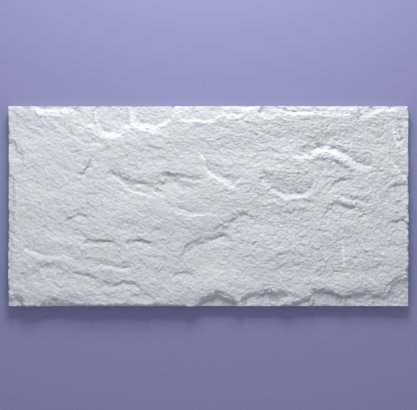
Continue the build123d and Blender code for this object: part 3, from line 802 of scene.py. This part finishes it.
    def raised(self, t: Tree, grid: Socket, given: Inputs) -> Socket:
        """Raises the flat grid to the stone's surface, and stores what the skin's colour reads.

        Args:
            t: the tree.
            grid: the flat grid.
            given: the tree's inputs.

        Returns:
            The face's mesh, with the shade and paleness painted along its ledges, and how far
            each point lies in a hollow, in millimetres, from which the skin paints shade and
            highlight.
        """
        place = t.add("GeometryNodeInputPosition").outputs[0]
        bent = self.bent_place(t, place, given)
        kept = t.stored(grid, "scars", self.sampled(t, bent, given))
        halfway = t.vector("SCALE", t.vector("ADD", place, bent), scale=0.5)
        wobble = t.vector("SCALE", t.wander(place, self.drawing.turns, 2.0),
                          scale=self.drawing.wander)
        ledges, stain = self.ledge_depth(t, t.vector("ADD", halfway, wobble), given)
        # The shade and paleness to be painted along the ledges
        kept = t.stored(kept, "stain", stain)
        worn = t.blurred(t.named("scars"), given["Weathering"])
        stone = t.math("MULTIPLY", self.stone_noise(t, place), self.strength(t, place, given))
        kept = t.stored(kept, "level", t.math("SUBTRACT", t.math("ADD", worn, stone), ledges))
        level = t.named("level")
        # How far each point lies in a hollow, which the skin turns into painted shade and
        # highlight
        below = t.math("SUBTRACT", t.blurred(level, self.hollow_blurs), level)
        kept = t.stored(kept, "hollow", t.math("MULTIPLY", below, 1 / MM))
        lift = t.add("ShaderNodeCombineXYZ", {"Z": level}).outputs[0]
        return t.add("GeometryNodeSetPosition", {"Geometry": kept, "Offset": lift}).outputs[0]

    def bent_place(self, t: Tree, place: Socket, given: Inputs) -> Socket:
        """Bends where the solid is sampled, so that its straight outlines break up.

        Args:
            t: the tree.
            place: the grid's positions.
            given: the tree's inputs.

        Returns:
            Positions on the face, held just inside its rim.
        """
        # The noise seldom passes a quarter either way, so this makes the warp its full reach
        reach = t.math("MULTIPLY", given["Warp"], 4.0)
        broad = t.wander(place, self.bends, 4.0, 0.6)
        moved = t.vector("ADD", place, t.vector("SCALE", broad, scale=reach))
        half_x = t.math("SUBTRACT", t.math("MULTIPLY", given["Length"], 0.5), 0.5 * MM)
        half_y = t.math("SUBTRACT", t.math("MULTIPLY", given["Width"], 0.5), 0.5 * MM)
        top = t.add("ShaderNodeCombineXYZ", {"X": half_x, "Y": half_y, "Z": 0.0}).outputs[0]
        return t.vector("MAXIMUM", t.vector("MINIMUM", moved, top),
                        t.vector("SCALE", top, scale=-1.0))

    def sampled(self, t: Tree, bent: Socket, given: Inputs) -> Socket:
        """Reads the solid's height straight under each point.

        Args:
            t: the tree.
            bent: where the solid is sampled.
            given: the tree's inputs.

        Returns:
            The height above the panel's back.
        """
        solid = t.add("GeometryNodeObjectInfo", {"Object": given["Solid"]}).outputs["Geometry"]
        # A ray falls on the face from well above the highest stone
        above = t.vector("ADD", bent, (0, 0, 0.2))
        ray = t.add("GeometryNodeRaycast", {
            "Target Geometry": solid, "Source Position": above,
            "Ray Direction": (0, 0, -1), "Ray Length": 1.0})
        return t.axis(ray.outputs["Hit Position"], 2)

    def ledge_depth(self, t: Tree, bent: Socket, given: Inputs) -> tuple:
        """Works out how far each point lies down behind its nearest ledge, and the shade or
        paleness painted there.

        Args:
            t: the tree.
            bent: where the ledges are sampled.
            given: the tree's inputs.

        Returns:
            The depth, nothing on a ledge's high side or past its reach, and the shade or paleness
            painted along it, which fades away from the line. Both are patchy along the line.
        """
        drawing = self.drawing
        lines = t.add("GeometryNodeObjectInfo", {"Object": given["Ledges"]}).outputs["Geometry"]
        curve = t.add("GeometryNodeMeshToCurve", {"Mesh": lines}).outputs[0]
        fine = t.add("GeometryNodeResampleCurve", {"Curve": curve, "Length": drawing.step},
                     mode="LENGTH").outputs[0]
        along = t.add("GeometryNodeSplineParameter").outputs["Factor"]
        arch = t.math("POWER", t.math("SINE", t.math("MULTIPLY", along, pi)), drawing.end_fade)
        for name in ("drop", "stain"):
            fine = t.stored(fine, name, t.math("MULTIPLY", t.named(name), arch))
        edges = t.add("GeometryNodeCurveToMesh", {"Curve": fine}).outputs[0]
        flat = t.vector("MULTIPLY", bent, (1, 1, 0))
        near = t.add("GeometryNodeProximity", {0: edges, "Sample Position": flat},
                     target_element="EDGES")
        index = t.add("GeometryNodeSampleNearest", {"Geometry": edges,
                                                    "Sample Position": flat},
                      domain="EDGE").outputs[0]
        drop, reach, width, stain, side = (
            t.add("GeometryNodeSampleIndex", {
                "Geometry": edges, "Value": t.named(name, kind), "Index": index},
                data_type=kind, domain="EDGE").outputs[0]
            for name, kind in (("drop", "FLOAT"), ("reach", "FLOAT"), ("width", "FLOAT"),
                               ("stain", "FLOAT"), ("side", "FLOAT_VECTOR")))
        away = near.outputs["Distance"]
        beyond = t.vector("SUBTRACT", flat, near.outputs["Position"])
        across = t.vector("DOT_PRODUCT", beyond, side)
        on_low = t.math("ADD", t.math("DIVIDE", across, width), 0.5, clamp=True)
        fade = t.math("EXPONENT", t.math("MULTIPLY", t.math("DIVIDE", away, reach),
                                         -drawing.climb))
        # The shade or paleness painted along a line fades over this spread
        spread = t.math("MULTIPLY_ADD", width, drawing.shade_and_pale_share, drawing.shade_and_pale_edge)
        near_line = t.remap(t.math("DIVIDE", away, spread), 0.2, 1.0, 1.0, 0.0, True)
        patchy = t.remap(t.noise(bent, drawing.patches, 2.0), 0.34, 0.66, *drawing.patchy)
        fall = t.math("MULTIPLY", t.math("MULTIPLY", drop, on_low), fade)
        stain = t.math("MULTIPLY", stain, near_line)
        return t.math("MULTIPLY", fall, patchy), t.math("MULTIPLY", stain, patchy)

    def strength(self, t: Tree, place: Socket, given: Inputs) -> Socket:
        """Says how strong the unevenness is: more on walls, less at the panel's left end.

        Args:
            t: the tree.
            place: the grid's positions.
            given: the tree's inputs.

        Returns:
            A factor for the stone's noise.
        """
        scars = t.named("scars")
        # A point is on a wall where it stands off from the height of what lies round it
        off = t.math("ABSOLUTE", t.math("SUBTRACT", scars, t.blurred(scars, self.wall_blurs)))
        wall = t.remap(off, 0.2 * MM, 1.2 * MM, 0.0, 1.0)
        on_walls = t.math("ADD", 1.0, t.math("MULTIPLY", wall, given["Wall roughness"]))
        rough = t.math("MULTIPLY", given["Roughness"], on_walls)
        return t.math("MULTIPLY", rough,
                      t.remap(t.axis(place, 0), -0.4, 0.3, *self.end_rough))

    def stone_noise(self, t: Tree, place: Socket) -> Socket:
        """Adds the stone's own unevenness: swells, crumples, crossing grain and facets.

        Args:
            t: the tree.
            place: the grid's positions.

        Returns:
            A height to add.
        """
        to_right = t.remap(t.axis(place, 0), -0.22, 0.16, 0.0, 1.0, True)
        height = 0.0
        for layer in self.rough:
            height = t.math("ADD", height, self.roughness_at(t, place, layer))
        for facets in self.facets:
            left, right = (self.facets_at(t, place, facets, slant)
                           for slant in self.facet_slants)
            layer = t.add("ShaderNodeMix", {"Factor": to_right, "A": left, "B": right})
            height = t.math("ADD", height, layer.outputs[0])
        return height

    def roughness_at(self, t: Tree, place: Socket, layer: Roughness) -> Socket:
        """Makes one layer of unevenness.

        Args:
            t: the tree.
            place: the grid's positions.
            layer: its size, height and slant.

        Returns:
            A height to add, about nought.
        """
        thin = t.vector("MULTIPLY", t.turned(place, layer.slant), (1.0, layer.stretch, 1.0))
        # Each layer reads another part of the noise, so that no two repeat each other
        apart = t.vector("ADD", thin, (layer.size * 40, layer.slant, 0.3))
        bumps = t.noise(apart, 1 / (layer.size * layer.stretch), layer.finer, layer.share, 0.2)
        return t.math("MULTIPLY", t.math("SUBTRACT", bumps, 0.5), layer.height)

    def facets_at(self, t: Tree, place: Socket, facets: Facets, slant: float) -> Socket:
        """Breaks the face into tilted facets of one size, lying at one slant.

        Args:
            t: the tree.
            place: the grid's positions.
            facets: their size, tilt and step.
            slant: degrees below level.

        Returns:
            A height to add.
        """
        bent = t.wander(place, 0.8 / facets.size, 2.0)
        moved = t.vector("ADD", place, t.vector("SCALE", bent, scale=facets.size))
        thin = t.vector("MULTIPLY", t.turned(moved, slant), (1.0, facets.stretch, 0.0))
        cell = t.add("ShaderNodeTexVoronoi", {"Vector": thin, "Scale": 1 / facets.size},
                     voronoi_dimensions="2D")
        # The cell's colour is three numbers of its own from 0 to 1: two for its tilt, one for
        # its step, each doubled to run from -1 to 1
        tilt = t.vector("SUBTRACT", cell.outputs["Color"], (0.5, 0.5, 0.5))
        off = t.vector("SUBTRACT", thin, cell.outputs["Position"])
        slope = t.vector("DOT_PRODUCT", off, t.vector("MULTIPLY", tilt, (1, 1, 0)))
        return t.math("ADD", t.math("MULTIPLY", slope, 2 * facets.slope),
                      t.math("MULTIPLY", t.axis(tilt, 2), 2 * facets.step))

    def walls(self, t: Tree, face: Socket) -> Socket:
        """Drops walls from the face's rim to the back and closes the back.

        Args:
            t: the tree.
            face: the face's mesh.

        Returns:
            The closed mesh.
        """
        lone = t.add("GeometryNodeInputMeshEdgeNeighbors").outputs[0]
        rim = t.add("FunctionNodeCompare", {2: lone, 3: 1}, data_type="INT",
                    operation="EQUAL").outputs[0]
        place = t.add("GeometryNodeInputPosition").outputs[0]
        inward = t.vector("SCALE", t.vector("MULTIPLY", place, (-1, -1, 0)),
                          scale=self.side_draw)
        halfway = t.vector("ADD", t.vector("MULTIPLY", place, (1, 1, 0.5)), inward)
        wave = t.vector("MULTIPLY", t.wander(place, 60.0, 3.0), (0, 0, self.side_wave))
        shell = self.band(t, face, rim, t.vector("ADD", halfway, wave))
        shell = self.band(t, shell, rim, t.vector("MULTIPLY", place, (1, 1, 0)))
        loop = t.add("GeometryNodeMeshToCurve", {"Mesh": shell, "Selection": rim}).outputs[0]
        lid = t.add("GeometryNodeFillCurve", {"Curve": loop}, mode="NGONS").outputs[0]
        lid = t.add("GeometryNodeFlipFaces", {"Mesh": lid}).outputs[0]
        joined = t.add("GeometryNodeJoinGeometry")
        t.feed(joined.inputs[0], lid)
        t.feed(joined.inputs[0], shell)
        return t.add("GeometryNodeMergeByDistance", {
            "Geometry": joined.outputs[0], "Distance": 0.02 * MM}).outputs[0]

    def band(self, t: Tree, mesh: Socket, rim: Socket, lower: Socket) -> Socket:
        """Draws one band of wall out of the mesh's open rim.

        Args:
            t: the tree.
            mesh: the mesh so far.
            rim: which edges are open.
            lower: where the rim's points go.

        Returns:
            The mesh with its band.
        """
        grown = t.add("GeometryNodeExtrudeMesh", {"Mesh": mesh, "Selection": rim,
                                                  "Offset Scale": 0.0}, mode="EDGES")
        return t.add("GeometryNodeSetPosition", {
            "Geometry": grown.outputs["Mesh"], "Selection": grown.outputs["Top"],
            "Position": lower}).outputs[0]

    def finished(self, t: Tree, shell: Socket, given: Inputs) -> Socket:
        """Shades the mesh smooth but for its hard corners, and gives it its two finishes.

        Args:
            t: the tree.
            shell: the closed mesh.
            given: the tree's inputs.

        Returns:
            The finished mesh, with the foam's finish on what faces down.
        """
        angle = t.add("GeometryNodeInputMeshEdgeAngle").outputs["Unsigned Angle"]
        sharp = t.math("GREATER_THAN", angle, radians(60))
        shell = t.add("GeometryNodeSetShadeSmooth", {"Geometry": shell,
                                                     "Shade Smooth": True}).outputs[0]
        shell = t.stored(shell, "sharp_edge", sharp, "BOOLEAN", "EDGE")
        whole = t.add("GeometryNodeRealizeInstances", {"Geometry": shell}).outputs[0]
        whole = t.add("GeometryNodeSetMaterial", {"Geometry": whole,
                                                  "Material": given["Skin"]}).outputs[0]
        # What faces down is the back
        normal = t.add("GeometryNodeInputNormal").outputs[0]
        under = t.math("LESS_THAN", t.vector("DOT_PRODUCT", normal, (0, 0, 1)), -0.7)
        return t.add("GeometryNodeSetMaterial", {"Geometry": whole, "Selection": under,
                                                 "Material": given["Back"]}).outputs[0]

    def closed(self, mesh: bpy.types.Mesh) -> bpy.types.Object:
        """Turns every face outwards and puts the mesh in the scene.

        Args:
            mesh: the panel's mesh.

        Returns:
            Its object, at the origin.
        """
        work = bmesh.new()
        work.from_mesh(mesh)
        bmesh.ops.recalc_face_normals(work, faces=work.faces)
        open_edges = sum(1 for edge in work.edges if not edge.is_manifold)
        work.to_mesh(mesh)
        work.free()
        mesh.name = self.piece
        piece = in_scene(self.piece, mesh)
        triangles = sum(len(polygon.vertices) - 2 for polygon in mesh.polygons)
        LOG.info("panel: %d triangles, %d open edges", triangles, open_edges)
        return piece


@dataclass
class Studio:
    """The plain floor, the soft light and the camera, straight over the panel."""

    floor_colour: tuple = (0.235, 0.24, 0.415)
    floor_roughness: float = 0.9
    floor_reach: float = 40.0
    camera_place: tuple = (0.0, 3.5 * MM, 3.022)
    lens: float = 86.0
    sensor: float = 36.0
    key_place: tuple = (0.0, 1.85, 1.2)
    key_size: float = 0.9
    key_power: float = 48.3
    fill_colour: tuple = (0.84, 0.86, 1.0)
    fill: float = 0.515

    def build(self) -> None:
        """Makes everything that isn't part of the panel."""
        self.floor()
        self.light()
        self.camera()

    def floor(self) -> None:
        """Lays the floor under the panel."""
        far = self.floor_reach
        corners = [(-far, -far, 0), (far, -far, 0), (far, far, 0), (-far, far, 0)]
        mesh = bpy.data.meshes.new("floor")
        mesh.from_pydata(corners, [], [(0, 1, 2, 3)])
        ground = in_scene("floor", mesh)
        paint, _, shader = new_material("floor_paint")
        shader.inputs["Base Color"].default_value = (*self.floor_colour, 1.0)
        shader.inputs["Roughness"].default_value = self.floor_roughness
        mesh.materials.append(paint)

    def light(self) -> None:
        """Hangs a soft key light past the upper edge and fills from all round."""
        lamp = bpy.data.lights.new("key", "AREA")
        lamp.shape = "SQUARE"
        lamp.size = self.key_size
        lamp.energy = self.key_power
        holder = in_scene("key", lamp)
        holder.location = self.key_place
        towards = -Vector(self.key_place)
        holder.rotation_euler = towards.to_track_quat("-Z", "Y").to_euler()
        world = bpy.data.worlds.new("studio")
        world.use_nodes = True
        sky = world.node_tree.nodes["Background"]
        sky.inputs["Color"].default_value = (*self.fill_colour, 1.0)
        sky.inputs["Strength"].default_value = self.fill
        bpy.context.scene.world = world

    def camera(self) -> None:
        """Puts the camera straight over the panel, with the upper edge up."""
        eye = bpy.data.cameras.new("camera")
        eye.lens = self.lens
        eye.sensor_width = self.sensor
        holder = in_scene("camera", eye)
        holder.location = self.camera_place
        bpy.context.scene.camera = holder
        bpy.context.scene.view_settings.view_transform = "Standard"


def main() -> None:
    """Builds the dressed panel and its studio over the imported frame."""
    logging.basicConfig(level=logging.INFO, format="%(message)s")
    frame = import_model()
    panel = StonePanel()
    piece = panel.build(frame["nodes"][panel.node])
    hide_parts(panel.node)
    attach(piece, "root")
    Studio().build()


if __name__ == "__main__":
    main()
